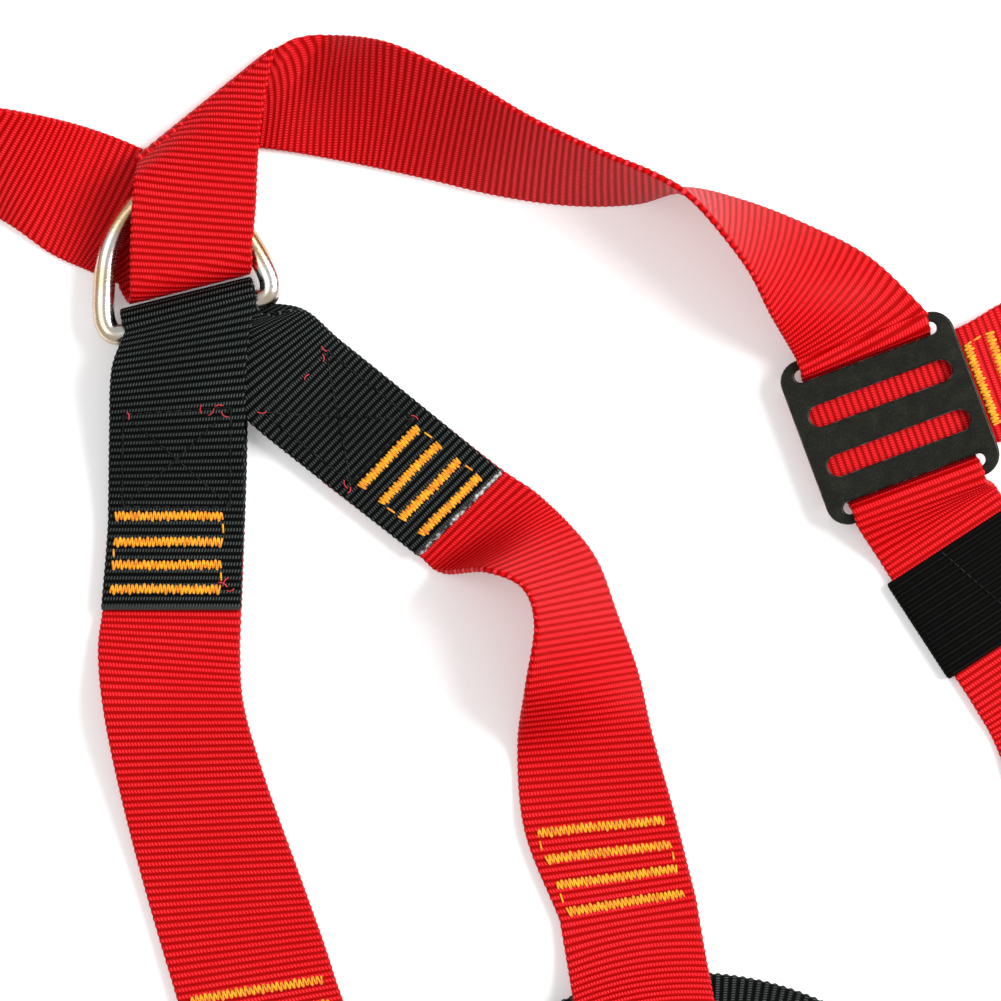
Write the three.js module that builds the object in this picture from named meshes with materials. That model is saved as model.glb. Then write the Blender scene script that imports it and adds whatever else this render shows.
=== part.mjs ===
// A full-body safety harness laid out flat: a steel attachment ring, red shoulder webbing that is
// threaded through it, black wear loops, lower straps, adjuster plates, keepers and two leg loops.
// Millimetres, +Z up, the harness rests on z = 0.
import * as THREE from 'three';

// ---- driving dimensions ----
const WIDTH = 44; // webbing width
const THICK = 2; // webbing thickness
const GAP = 0.3; // running gap between touching pieces
const LAYER = THICK + GAP; // height that one layer of webbing adds
const FLOOR_Z = THICK / 2; // middle of a webbing layer that lies on the ground
const ORIGIN = new THREE.Vector3(16.94, -214, 0); // centre of the outline, moved to 0,0 at the end

const RING = { x: 1, y: -9, z: 8.1, turn: 14, stock: 3.5 };
const PLATE = { width: 58, height: 55, thick: 3, corner: 7, base: 7 };
const SLOT = { half: 24, open: 7, openAt: 8.4, outer: 4, outerAt: 22.3 };
const RIGHT_PLATE = { x: 223, y: -41, turn: 20.4 };
const LEFT_PLATE = { x: -188, y: -52, turn: -16 };
const SIDE_STRAP = { narrow: 18.6, wide: 22, fold: -23.6, inner: 58, outer: 72, end: 96 };
const KEEPER = { length: 36, width: 48.5, wall: 1.1, inside: 2.8 };
const RIGHT_KEEPER = { x: 252.5, y: -96, turn: -57 };
const LEFT_KEEPER = { x: -204.4, y: -119.5, turn: -102.7 };
const LEG = { outer: 100, base: 5.4, slope: 40, thick: 4, segments: 60 };
const RIGHT_LEG = { x: 160, y: -318, strapAt: 99.5, shoulderAt: 32, buckleAt: -96 };
const LEFT_LEG = { x: -30, y: -400, strapAt: 60.6, shoulderAt: 150, buckleAt: -80 };
const EYE_START = 122; // distance from the leg loop's centre where a sewn eye begins
const BUCKLE = { across: 54, along: 31, thick: 3, bar: 5, slot: 8, lift: 4.9, tail: 52 };
const CHEST = { across: 58, along: 34, thick: 4, bar: 5, droop: 5 };

const RED = { color: 0xc4101c, roughness: 0.75, metalness: 0 };
const BLACK = { color: 0x15181a, roughness: 0.8, metalness: 0 };
const PLATE_BLACK = { color: 0x1a1b1a, roughness: 0.5, metalness: 0.4 };
const STEEL = { color: 0xb9b2a6, roughness: 0.25, metalness: 1 };

const harness = new THREE.Group();
const rad = THREE.MathUtils.degToRad;
const vec = (x, y, z = 0) => new THREE.Vector3(x, y, z);

function add(name, geometry, look, parent = harness) {
  const mesh = new THREE.Mesh(geometry, new THREE.MeshStandardMaterial(look));
  mesh.name = name;
  parent.add(mesh);
  return mesh;
}

// ---- webbing ----
// A thin box whose middle surface is bent to surface(across, along), both from 0 to 1.
function bentBox(surface, steps, across = 1) {
  const box = new THREE.BoxGeometry(1, 1, 1, across, steps, 1);
  const place = box.attributes.position;
  const small = 1e-4;
  for (let i = 0; i < place.count; i += 1) {
    const s = place.getX(i) + 0.5;
    const t = place.getY(i) + 0.5;
    const over = surface(Math.min(s + small, 1), t).sub(surface(Math.max(s - small, 0), t));
    const along = surface(s, Math.min(t + small, 1)).sub(surface(s, Math.max(t - small, 0)));
    const normal = over.cross(along).normalize();
    const point = surface(s, t).addScaledVector(normal, place.getZ(i) * THICK);
    place.setXYZ(i, point.x, point.y, Math.max(point.z, 0));
  }
  box.computeVertexNormals();
  return box;
}

// A strip between two edge curves through the same number of stations.
function strip(stations, steps, across) {
  const curve = (side) => new THREE.CatmullRomCurve3(stations.map((s) => s[side]), false, 'catmullrom');
  const left = curve(0);
  const right = curve(1);
  const surface = (s, t) => {
    const point = left.getPoint(t).lerp(right.getPoint(t), s);
    point.z = Math.max(point.z, FLOOR_Z);
    return point;
  };
  return bentBox(surface, steps, across);
}

// A station given by both edges in plan. Webbing keeps its width, so where the edges come closer in
// plan one of them stands higher: side 1 lifts the left edge and side -1 the right one.
function edges(lx, ly, rx, ry, z, side = 0) {
  const plan = Math.hypot(lx - rx, ly - ry);
  const lift = side ? Math.sqrt(Math.max(WIDTH ** 2 - plan ** 2, 0)) : 0;
  return [vec(lx, ly, z + (side > 0 ? lift : 0)), vec(rx, ry, z + (side < 0 ? lift : 0))];
}

// A station square to the direction of travel, in degrees from +X.
function square(x, y, heading, z, half = WIDTH / 2) {
  const a = rad(heading + 90);
  const over = vec(Math.cos(a), Math.sin(a)).multiplyScalar(half);
  return [vec(x, y, z).add(over), vec(x, y, z).sub(over)];
}

// A local frame that lies flat: place(u, v, z) turns local to harness coordinates.
function flatFrame({ x, y, turn }) {
  const a = rad(turn);
  const u = vec(Math.cos(a), Math.sin(a));
  const v = vec(-Math.sin(a), Math.cos(a));
  return (lu, lv, z) => vec(x, y, z).addScaledVector(u, lu).addScaledVector(v, lv);
}

// ---- attachment ring and the webbing around it ----
const ringFrame = flatFrame(RING);

function attachmentRing() {
  const half = [[8, 0], [21.8, 0], [25.5, 1.2], [27, 4.8], [25, 15], [19.4, 28.5], [10, 38]];
  const top = [[0, 41]];
  const mirrored = half.map(([u, v]) => [-u, v]).reverse();
  const outline = [...half, ...top, ...mirrored].map(([u, v]) => vec(u, v));
  const centre = new THREE.CatmullRomCurve3(outline, true, 'centripetal');
  const round = 12;
  const around = 44;
  const torus = new THREE.TorusGeometry(1, 0.1, round, around);
  const place = torus.attributes.position;
  for (let j = 0; j <= round; j += 1) {
    const angle = (((j % round) + 0.5) / round) * 2 * Math.PI;
    for (let i = 0; i <= around; i += 1) {
      const t = (i % around) / around;
      const tangent = centre.getTangentAt(t);
      const out = vec(tangent.y, -tangent.x).multiplyScalar(RING.stock * Math.cos(angle));
      const p = centre.getPointAt(t).add(out);
      place.setXYZ(j * (around + 1) + i, p.x, p.y, RING.stock * Math.sin(angle));
    }
  }
  torus.computeVertexNormals();
  const ring = add('attachment_ring', torus, STEEL);
  ring.position.set(RING.x, RING.y, RING.z);
  ring.rotation.z = rad(RING.turn);
}

// Stations of a half turn around a bar that lies along the ring's u axis. From and to are degrees
// in the v-z plane, the strip spans uLow to uHigh at its start, and it slides along u on the way.
function turnStations(uLow, uHigh, v, radius, from, to, slide = 0) {
  const count = 8;
  const list = [];
  for (let i = 0; i <= count; i += 1) {
    const a = rad(from + ((to - from) * i) / count);
    const lv = v + radius * Math.cos(a);
    const lz = RING.z + radius * Math.sin(a);
    const shift = (slide * i) / count;
    list.push([ringFrame(uLow + shift, lv, lz), ringFrame(uHigh + shift, lv, lz)]);
  }
  return list;
}

const RED_TURN = { v: 17.1, radius: 7.1, slide: 5.6 };
const BEHIND = FLOOR_Z + LAYER; // level of the second layer, behind a plate and inside a loop
const PLATE_ENTRY = { v: 30.8, z: 10.2 }; // where a shoulder strap meets the webbing in the plate

function shoulderWebbing() {
  // under the ring and out to the left adjuster; the outer edge stands up on the bend
  const atRing = RED_TURN.v + 0.4;
  const entry = PLATE_ENTRY;
  const leftEnd = flatFrame(LEFT_PLATE);
  add('shoulder_webbing_left', strip([
    [ringFrame(-21, atRing, FLOOR_Z), ringFrame(19, atRing, FLOOR_Z)],
    edges(-32, 6, 2, 34, FLOOR_Z),
    edges(-45, 12, -27, 50, FLOOR_Z),
    edges(-63, 24, -61, 56, FLOOR_Z + 1, -1),
    edges(-88, 30, -94, 56, FLOOR_Z + 1, -1),
    edges(-115, 27, -129, 50, FLOOR_Z + 1, -1),
    edges(-138, 14, -160, 38, FLOOR_Z + 1, -1),
    edges(-152, -4, -187, 19, FLOOR_Z + 4, -1),
    [leftEnd(22, entry.v, entry.z), leftEnd(-22, entry.v, entry.z)],
  ], 44), RED);

  // around the ring's bow from below and up to the diagonal fold
  const top = RING.z + RED_TURN.radius;
  add('shoulder_webbing_ring_turn', strip([
    ...turnStations(-21, 18.6, RED_TURN.v, RED_TURN.radius, -90, -270, RED_TURN.slide),
    [vec(-17.7, 15, top + 2.4), vec(21.9, 26, top + 2.4)],
    [vec(-17.2, 26, top + 3), vec(22.6, 42, top + 2)],
    [vec(-16.6, 34, 16), vec(24.2, 59, 11)],
    [vec(-16, 39.5, 8.5), vec(27, 76, FLOOR_Z + 2 * LAYER)],
  ], 44), RED);

  // from under the fold to the right adjuster, with half a twist on the way
  const rightEnd = flatFrame(RIGHT_PLATE);
  add('shoulder_webbing_right', strip([
    edges(27, 76, -11, 44, FLOOR_Z + 0.4),
    edges(33.5, 80.4, 5, 44, FLOOR_Z + 0.4),
    edges(45, 81, 22, 44, FLOOR_Z + 0.4),
    edges(64, 77, 50, 41, FLOOR_Z + 1, 1),
    edges(88, 65, 74, 36, FLOOR_Z + 1, 1),
    edges(109, 52, 98, 30.5, FLOOR_Z + 1, 1),
    edges(130, 41.5, 121, 27.5, FLOOR_Z + 1, 1),
    edges(147, 34, 142, 28, FLOOR_Z + 1, 1),
    edges(158, 27, 158, 32, FLOOR_Z + 1, 1),
    edges(168, 16, 177, 28, FLOOR_Z + 1, 1),
    edges(177, 4, 198, 20, FLOOR_Z + 1, 1),
    edges(184, -9, 217, 10, FLOOR_Z + 4, 1),
    [rightEnd(-22, entry.v, entry.z), rightEnd(22, entry.v, entry.z)],
  ], 60, 2), RED);
}

// A wear loop has a top leaf and a bottom leaf, joined by the turn around the ring's bar.
function wearLoops() {
  const outer = RING.z - FLOOR_Z;
  const inner = outer - LAYER;
  const stacked = FLOOR_Z + 2 * LAYER;
  add('wear_loop_left', strip([
    edges(-28, -102, 16.5, -102, FLOOR_Z),
    edges(-25, -58, 18, -60, FLOOR_Z),
    edges(-24, -32, 19, -26, FLOOR_Z),
    ...turnStations(-21.5, 21.5, 0, outer, -90, 90),
    edges(-24, -26, 19, -20, 14.6),
    edges(-25, -46, 18, -44, 10.6),
    edges(-25.6, -66, 17.6, -66, stacked + 1),
    edges(-26, -78, 17.4, -78, stacked + 0.1),
    edges(-28, -102, 16.5, -102, stacked),
  ], 64), BLACK);
  add('wear_loop_right', strip([
    edges(73, -85, 100, -58, FLOOR_Z),
    edges(36, -56, 63, -28, FLOOR_Z),
    edges(20, -43, 48, -16, FLOOR_Z + LAYER),
    edges(4, -28, 36, -6, FLOOR_Z + LAYER),
    ...turnStations(-17, 20.8, 0, inner, -90, 90),
    [ringFrame(-16, -5, 12.9), ringFrame(23.5, -5, 12.9)],
    edges(4, -28, 37, -7, 11),
    edges(20, -43, 48, -16, 7.4),
    edges(36, -56, 63, -28, stacked),
    edges(73, -85, 100, -58, stacked),
  ], 72), BLACK);
}

// ---- leg loops ----
// A band that leans inwards like a cone. Radius and height of a point at distance along and above it.
function onCone(along, above) {
  const a = rad(LEG.slope);
  const r = LEG.outer - along * Math.cos(a) + above * Math.sin(a);
  const z = LEG.base + along * Math.sin(a) + above * Math.cos(a);
  return [r, z];
}

function legBand(name, leg) {
  const half = LEG.thick / 2;
  const corners = [[0, -half], [0, half], [WIDTH, half], [WIDTH, -half], [0, -half]];
  const profile = corners.map(([along, above]) => new THREE.Vector2(...onCone(along, above)));
  const band = new THREE.LatheGeometry(profile, LEG.segments);
  band.rotateX(Math.PI / 2);
  const mesh = add(name, band, BLACK);
  mesh.position.set(leg.x, leg.y, 0);
}

// A point near a leg loop: distance from its centre towards an angle, sideways, and height. Bend is
// 0 where the webbing is flat and 1 where it follows the band's curve.
function nearLeg(leg, angle, r, sideways, z, bend) {
  const a = rad(angle);
  const out = vec(Math.cos(a), Math.sin(a));
  const tangent = vec(-Math.sin(a), Math.cos(a));
  const reach = r - (bend * sideways ** 2) / (2 * r);
  return vec(leg.x, leg.y, z).addScaledVector(out, reach).addScaledVector(tangent, sideways);
}

// A sewn eye: over the band, around its inner edge and back under it.
function legEye(name, leg, angle) {
  const off = LEG.thick / 2 + 0.9 + THICK / 2;
  const far = WIDTH + off;
  const path = [
    [EYE_START - GAP, BEHIND], [113, BEHIND + 1], onCone(1, off), onCone(WIDTH / 2, off),
    onCone(WIDTH - 1, off), onCone(far - 1, off * 0.5), onCone(far - 1, -off * 0.5),
    onCone(WIDTH - 1, -off), onCone(WIDTH / 2, -off), onCone(7, -off), onCone(1, -off * 0.9),
    [100.5, 1.9], [107, FLOOR_Z],
    [EYE_START - GAP, FLOOR_Z],
  ];
  const line = new THREE.CatmullRomCurve3(path.map(([r, z]) => vec(r, 0, z)), false, 'catmullrom');
  const surface = (s, t) => {
    const p = line.getPoint(t);
    const bend = THREE.MathUtils.smoothstep(EYE_START - p.x, 0, 12);
    return nearLeg(leg, angle, p.x, (0.5 - s) * -WIDTH, p.z, bend);
  };
  add(name, bentBox(surface, 36, 3), RED);
}

// The last station of a strap that runs into a sewn eye.
function atEye(leg, angle) {
  const p = nearLeg(leg, angle, EYE_START, 0, BEHIND, 0);
  return square(p.x, p.y, angle + 180, BEHIND);
}

function lowerStraps() {
  const inLoop = BEHIND;
  add('lower_strap_left', strip([
    edges(-25.8, -76, 17.4, -76, inLoop),
    edges(-27.5, -100, 16.6, -100, inLoop),
    edges(-29, -115, 16.3, -118, inLoop + 2),
    edges(-27, -134, 18, -134, inLoop + 6),
    edges(-22, -160, 25, -158, inLoop + 3),
    edges(-14, -192, 36, -189, inLoop),
    edges(-4, -226, 46, -218, inLoop),
    edges(7, -262, 55, -252, inLoop),
    atEye(LEFT_LEG, LEFT_LEG.strapAt).reverse(),
  ], 44), RED);
  add('lower_strap_right', strip([
    edges(42, -61, 69, -33, inLoop),
    edges(71, -83, 98, -56, inLoop),
    edges(80, -90, 111, -65, inLoop + 1),
    edges(94, -89, 122, -76, inLoop + 2, 1),
    edges(106, -94, 130, -87, inLoop + 1, 1),
    edges(110, -106, 136, -103, inLoop, 1),
    edges(107, -126, 143, -122, inLoop, 1),
    edges(104.6, -146, 148, -143, inLoop + 1),
    edges(107, -173, 155, -168, inLoop),
    atEye(RIGHT_LEG, RIGHT_LEG.strapAt).reverse(),
  ], 56), RED);
}

// The straight stretch that a keeper slides on.
function inSleeve(at) {
  const a = rad(at.turn);
  const z = KEEPER.wall + KEEPER.inside / 2;
  const middle = (d, up) => square(at.x + d * Math.cos(a), at.y + d * Math.sin(a), at.turn, z + up);
  return [middle(-26, 1), middle(-19, 0.1), middle(-5, 0), middle(10, 0), middle(31, 0)];
}

function lowerRuns() {
  const right = flatFrame(RIGHT_PLATE);
  add('shoulder_webbing_right_lower', strip([
    [right(22, -PLATE_ENTRY.v, PLATE_ENTRY.z), right(-22, -PLATE_ENTRY.v, PLATE_ENTRY.z)],
    ...inSleeve(RIGHT_KEEPER),
    square(278, -138, -64, FLOOR_Z + 0.6),
    square(289, -170, -76, FLOOR_Z + 5),
    square(292, -202, -95, FLOOR_Z + 3),
    square(286, -229, -115, FLOOR_Z + 1),
    atEye(RIGHT_LEG, RIGHT_LEG.shoulderAt),
  ], 48), RED);
  const left = flatFrame(LEFT_PLATE);
  add('shoulder_webbing_left_lower', strip([
    [left(22, -PLATE_ENTRY.v, PLATE_ENTRY.z), left(-22, -PLATE_ENTRY.v, PLATE_ENTRY.z)],
    ...inSleeve(LEFT_KEEPER),
    square(-214.5, -180, -92, FLOOR_Z + 4),
    square(-213.5, -226, -85, FLOOR_Z + 6),
    square(-204, -268, -70, FLOOR_Z + 2),
    square(-186, -302, -54, FLOOR_Z + 1),
    square(-164, -323, -38, FLOOR_Z + LAYER),
    atEye(LEFT_LEG, LEFT_LEG.shoulderAt),
  ], 48), RED);
}

// ---- adjusters ----
function roundedRect(path, w, h, r) {
  path.moveTo(-w / 2 + r, -h / 2);
  path.lineTo(w / 2 - r, -h / 2);
  path.absarc(w / 2 - r, -h / 2 + r, r, -Math.PI / 2, 0);
  path.lineTo(w / 2, h / 2 - r);
  path.absarc(w / 2 - r, h / 2 - r, r, 0, Math.PI / 2);
  path.lineTo(-w / 2 + r, h / 2);
  path.absarc(-w / 2 + r, h / 2 - r, r, Math.PI / 2, Math.PI);
  path.lineTo(-w / 2, -h / 2 + r);
  path.absarc(-w / 2 + r, -h / 2 + r, r, Math.PI, Math.PI * 1.5);
  return path;
}

function slotHole(half, width, v) {
  const hole = new THREE.Path();
  const r = width / 2;
  hole.absarc(-half + r, v, r, Math.PI * 1.5, Math.PI / 2, true);
  hole.absarc(half - r, v, r, Math.PI / 2, -Math.PI / 2, true);
  hole.closePath();
  return hole;
}

function extruded(shape, depth, curveSegments = 4) {
  return new THREE.ExtrudeGeometry(shape, { depth, bevelEnabled: false, curveSegments });
}

function adjuster(side, at, outwards) {
  const shape = roundedRect(new THREE.Shape(), PLATE.width, PLATE.height, PLATE.corner);
  for (const sign of [-1, 1]) {
    shape.holes.push(slotHole(SLOT.half, SLOT.open, sign * SLOT.openAt));
    shape.holes.push(slotHole(SLOT.half, SLOT.outer, sign * SLOT.outerAt));
  }
  const plate = add(`adjuster_plate_${side}`, extruded(shape, PLATE.thick), PLATE_BLACK);
  plate.position.set(at.x, at.y, PLATE.base);
  plate.rotation.z = rad(at.turn);

  // the strap comes over the outer bar, dives through the slot and passes behind the plate
  const place = flatFrame(at);
  const half = [
    [29.3, 10.6], [26.2, 12], [23.6, 11.9], [22.3, 10], [22.2, 7.4], [21, 4.9], [18.4, 3.5], [12, BEHIND],
  ];
  const profile = [...half, [0, BEHIND], ...half.map(([v, z]) => [-v, z]).reverse()];
  const weave = profile.map(([v, z]) => [place(-21.5, v, z), place(21.5, v, z)]);
  add(`adjuster_webbing_${side}`, strip(weave, 56), RED);

  // the side strap is folded around the shoulder strap and again around the connector's bar
  const s = SIDE_STRAP;
  const top = FLOOR_Z + 2 * LAYER;
  const hinge = CHEST_AXIS;
  const across = (u) => s.narrow + (s.wide - s.narrow) * THREE.MathUtils.smoothstep(u, 26, 40);
  const path = [[s.inner, FLOOR_Z], [30, FLOOR_Z], [0, FLOOR_Z], [s.fold, FLOOR_Z]];
  for (const a of [-135, -180, -225]) {
    path.push([s.fold + LAYER * Math.cos(rad(a)), BEHIND + LAYER * Math.sin(rad(a))]);
  }
  path.push([s.fold, top], [0, top], [30, top], [48, top - 1], [70, top], [s.end - 8, 8.2]);
  for (const a of [90, 45, 0, -45, -90]) {
    path.push([hinge.u + hinge.eye * Math.cos(rad(a)), hinge.z + hinge.eye * Math.sin(rad(a))]);
  }
  path.push([s.outer, FLOOR_Z]);
  const stations = path.map(([u, z]) => {
    const ends = [place(outwards * u, -across(u), z), place(outwards * u, across(u), z)];
    return outwards > 0 ? ends : ends.reverse();
  });
  add(`side_strap_${side}`, strip(stations, 80), RED);
}

const CHEST_AXIS = { u: SIDE_STRAP.end, z: FLOOR_Z + 4.6, eye: 4.6 };

function chestConnector(name, at, outwards, holes) {
  const shape = roundedRect(new THREE.Shape(), CHEST.along, CHEST.across, 4);
  const inner = CHEST.along - 2 * CHEST.bar;
  for (const [low, high] of holes) {
    const hole = new THREE.Path();
    const halfAcross = CHEST.across / 2 - 6;
    const x0 = -inner / 2 + low * inner;
    const x1 = -inner / 2 + high * inner;
    hole.moveTo(x0, -halfAcross);
    hole.lineTo(x0, halfAcross);
    hole.lineTo(x1, halfAcross);
    hole.lineTo(x1, -halfAcross);
    hole.closePath();
    shape.holes.push(hole);
  }
  const geometry = extruded(shape, CHEST.thick);
  geometry.translate(CHEST.along / 2 - CHEST.bar / 2, 0, -CHEST.thick / 2);
  const turned = new THREE.Group();
  const p = flatFrame(at)(outwards * CHEST_AXIS.u, 0, CHEST_AXIS.z);
  turned.position.copy(p);
  turned.rotation.z = rad(at.turn + (outwards > 0 ? 0 : 180));
  harness.add(turned);
  add(name, geometry, STEEL, turned).rotation.y = rad(CHEST.droop);
}

function keeper(name, at) {
  const outerHeight = KEEPER.inside + 2 * KEEPER.wall;
  const shape = roundedRect(new THREE.Shape(), KEEPER.width, outerHeight, 1.2);
  const hole = roundedRect(new THREE.Path(), KEEPER.width - 2 * KEEPER.wall, KEEPER.inside, 0.8);
  shape.holes.push(hole);
  const sleeve = extruded(shape, KEEPER.length, 4);
  sleeve.translate(0, 0, -KEEPER.length / 2);
  sleeve.rotateX(Math.PI / 2);
  const mesh = add(name, sleeve, BLACK);
  mesh.position.set(at.x, at.y, outerHeight / 2);
  mesh.rotation.z = rad(at.turn + 90);
}

// ---- leg buckles: a two-slot frame on the band, with the band's tail over its middle bar ----
function legBuckle(side, leg) {
  const shape = roundedRect(new THREE.Shape(), BUCKLE.across, BUCKLE.along, 4);
  for (const sign of [-1, 1]) {
    shape.holes.push(slotHole(BUCKLE.across / 2 - 5, BUCKLE.slot, (sign * (BUCKLE.bar + BUCKLE.slot)) / 2));
  }
  const frame = extruded(shape, BUCKLE.thick);
  const middle = WIDTH / 2;
  const a = rad(leg.buckleAt);
  const [r, z] = onCone(middle, BUCKLE.lift);
  const down = vec(Math.cos(a) * Math.cos(rad(LEG.slope)), Math.sin(a) * Math.cos(rad(LEG.slope)),
    -Math.sin(rad(LEG.slope)));
  const tangent = vec(-Math.sin(a), Math.cos(a));
  const matrix = new THREE.Matrix4().makeBasis(down, tangent, down.clone().cross(tangent));
  matrix.setPosition(leg.x + r * Math.cos(a), leg.y + r * Math.sin(a), z);
  const mesh = add(`leg_buckle_${side}`, frame, PLATE_BLACK);
  mesh.applyMatrix4(matrix);

  const low = LEG.thick / 2 + GAP + THICK / 2;
  const high = BUCKLE.lift + BUCKLE.thick + GAP + THICK / 2;
  const hump = (t) => THREE.MathUtils.smoothstep(Math.abs(t), 3.4, 8.6);
  const start = -24;
  const halfTail = 19;
  const surface = (s, t) => {
    const along = start + (BUCKLE.tail - start) * t;
    const above = high + (low - high) * hump(along);
    const [radius, height] = onCone(middle + (s - 0.5) * 2 * halfTail, above);
    const angle = a + along / onCone(middle, 0)[0];
    return vec(leg.x + radius * Math.cos(angle), leg.y + radius * Math.sin(angle), height);
  };
  const mirrored = (s, t) => surface(1 - s, t);
  add(`leg_tail_${side}`, bentBox(mirrored, 38), BLACK);
}

attachmentRing();
shoulderWebbing();
wearLoops();
lowerStraps();
lowerRuns();
adjuster('right', RIGHT_PLATE, 1);
adjuster('left', LEFT_PLATE, -1);
chestConnector('chest_frame_right', RIGHT_PLATE, 1, [[0, 1]]);
chestConnector('chest_tongue_left', LEFT_PLATE, -1, [[0, 0.4]]);
keeper('keeper_right', RIGHT_KEEPER);
keeper('keeper_left', LEFT_KEEPER);
for (const [side, leg] of [['right', RIGHT_LEG], ['left', LEFT_LEG]]) {
  legBand(`leg_loop_${side}`, leg);
  legEye(`lower_eye_${side}`, leg, leg.strapAt);
  legEye(`shoulder_eye_${side}`, leg, leg.shoulderAt);
  legBuckle(side, leg);
}

harness.position.copy(ORIGIN).negate();

export default harness;
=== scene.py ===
"""A full-body safety harness laid flat: ribbed webbing, sewn tacks, slotted adjusters and a steel ring.

Shapes are worked out in millimetres in the harness's own lay, then moved to the frame in metres.
"""

import math

import bmesh
import bpy
import numpy as np
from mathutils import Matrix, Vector


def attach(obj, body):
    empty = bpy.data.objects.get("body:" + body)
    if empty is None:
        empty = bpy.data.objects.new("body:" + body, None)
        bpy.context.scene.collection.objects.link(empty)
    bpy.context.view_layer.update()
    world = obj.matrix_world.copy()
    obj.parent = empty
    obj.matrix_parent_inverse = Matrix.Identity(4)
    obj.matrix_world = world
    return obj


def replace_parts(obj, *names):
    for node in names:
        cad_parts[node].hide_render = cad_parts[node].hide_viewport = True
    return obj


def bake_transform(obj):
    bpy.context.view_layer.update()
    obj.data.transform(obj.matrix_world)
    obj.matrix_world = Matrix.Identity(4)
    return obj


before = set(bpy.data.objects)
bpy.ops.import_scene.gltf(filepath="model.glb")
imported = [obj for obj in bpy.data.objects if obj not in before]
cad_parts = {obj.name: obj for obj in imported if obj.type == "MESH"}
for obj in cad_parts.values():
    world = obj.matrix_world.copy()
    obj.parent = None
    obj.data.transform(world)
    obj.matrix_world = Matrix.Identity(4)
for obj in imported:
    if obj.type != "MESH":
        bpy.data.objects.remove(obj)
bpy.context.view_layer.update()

# ---- sizes, in millimetres ----
ORIGIN = np.array([16.94, -214.0, 0.0])  # centre of the outline, which is the frame's origin
WIDTH = 44.0
THICK = 2.0
LAYER = 2.3  # height that one layer of webbing adds
FLOOR_Z = 1.0  # middle of a layer that lies on the ground
BEHIND = FLOOR_Z + LAYER  # level of the second layer, behind a plate and inside a loop
STACKED = FLOOR_Z + 2 * LAYER  # level of the third layer
FACE = THICK / 2  # from a layer's middle to its face
RIB = 2.2  # distance between the webbing's ribs
RIB_HEIGHT = 0.36
RIB_MIDDLE = 0.6  # share of a rib's height that the flat thickness runs through
EDGE_FADE = 0.7  # how much of a rib's height is gone at the selvedge
SELVEDGE = np.radians([62, 30, 0, -30, -62])  # angles of the points around a selvedge
MELT_FADE = (0.4, 1.6)  # distances from a cut end over which its melted look fades out
ROWS_PER_RIB = 4
ACROSS = 25  # points across the webbing's face
FINE_ACROSS = 41  # the same where the webbing is folded aslant
EASE = 21  # rows over which a slanted strip's direction is evened out
DENSE = 1400  # samples of a surface before it is laid out evenly
TURN_STEPS = 13  # stations in a half turn

RING = {"x": 1, "y": -9, "z": 8.1, "turn": 14}
RING_STOCK = 3.5
PLATE = {"width": 58, "height": 55, "thick": 3, "corner": 7, "base": 7}
SLOT = {"half": 24, "open": 7, "open_at": 8.4, "outer": 4, "outer_at": 22.3}
PLATES = {"right": {"x": 223, "y": -41, "turn": 20.4}, "left": {"x": -188, "y": -52, "turn": -16}}
OUTWARDS = {"right": 1, "left": -1}
KEEPERS = {
    "right": {"x": 252.5, "y": -96, "turn": -57},
    "left": {"x": -204.4, "y": -119.5, "turn": -102.7},
}
KEEPER = {"length": 36, "width": 48.5, "wall": 1.1, "inside": 2.8, "pitch": 1.5, "ridge": 0.16}
LEG = {"outer": 100, "base": 5.4, "slope": 40, "thick": 4}
LEGS = {
    "right": {"x": 160, "y": -318, "lower": 99.5, "shoulder": 32, "buckle": -96},
    "left": {"x": -30, "y": -400, "lower": 60.6, "shoulder": 150, "buckle": -80},
}
EYE_START = 122  # distance from a leg loop's centre where a strap's sewn eye begins
BUCKLE = {"across": 54, "along": 31, "thick": 3, "bar": 5, "slot": 8, "lift": 4.9, "tail": 52}
CHEST = {"across": 58, "along": 34, "thick": 4, "bar": 5, "bevel": 1.1, "droop": 5, "at": 96, "z": 5.6}
STRAP_EYE = 4.6  # radius of a side strap's turn around its connector's bar


# ---- places and curves ----
def point(x, y, z=0.0):
    return np.array([x, y, z], float)


UP = point(0, 0, 1)


def to_frame(places):
    """Millimetres in the harness's lay, as metres in the frame."""
    return (np.asarray(places, float) - ORIGIN) * 0.001


def turned(degrees):
    """The two level axes that are turned about Z by an angle."""
    a = math.radians(degrees)
    return point(math.cos(a), math.sin(a)), point(-math.sin(a), math.cos(a))


def flat_frame(at):
    """place(u, v, z): a point in a frame that is turned about Z and lies flat."""
    u, v = turned(at["turn"])
    return lambda lu, lv, z: point(at["x"], at["y"], z) + u * lu + v * lv


def cubic(p1, p2, m1, m2, w):
    """The cubic from p1 to p2 whose end slopes are m1 and m2, at w from 0 to 1."""
    return p1 + m1 * w + (3 * (p2 - p1) - 2 * m1 - m2) * w**2 + (2 * (p1 - p2) + m1 + m2) * w**3


def through(points, along):
    """A smooth curve through the points: each stretch is a cubic whose end slopes are half the step
    between the neighbours on either side."""
    p = np.asarray(points, float)
    p = np.vstack([2 * p[0] - p[1], p, 2 * p[-1] - p[-2]])
    x = np.asarray(along) * (len(p) - 3)
    i = np.clip(x.astype(int), 0, len(p) - 4)
    w = (x - i)[:, None]
    p0, p1, p2, p3 = p[i], p[i + 1], p[i + 2], p[i + 3]
    return cubic(p1, p2, (p2 - p0) / 2, (p3 - p1) / 2, w)


def smooth(x, low, high):
    """0 below low, 1 above high, and a smooth step between."""
    t = np.clip((np.asarray(x, float) - low) / (high - low), 0, 1)
    return t * t * (3 - 2 * t)


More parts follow.
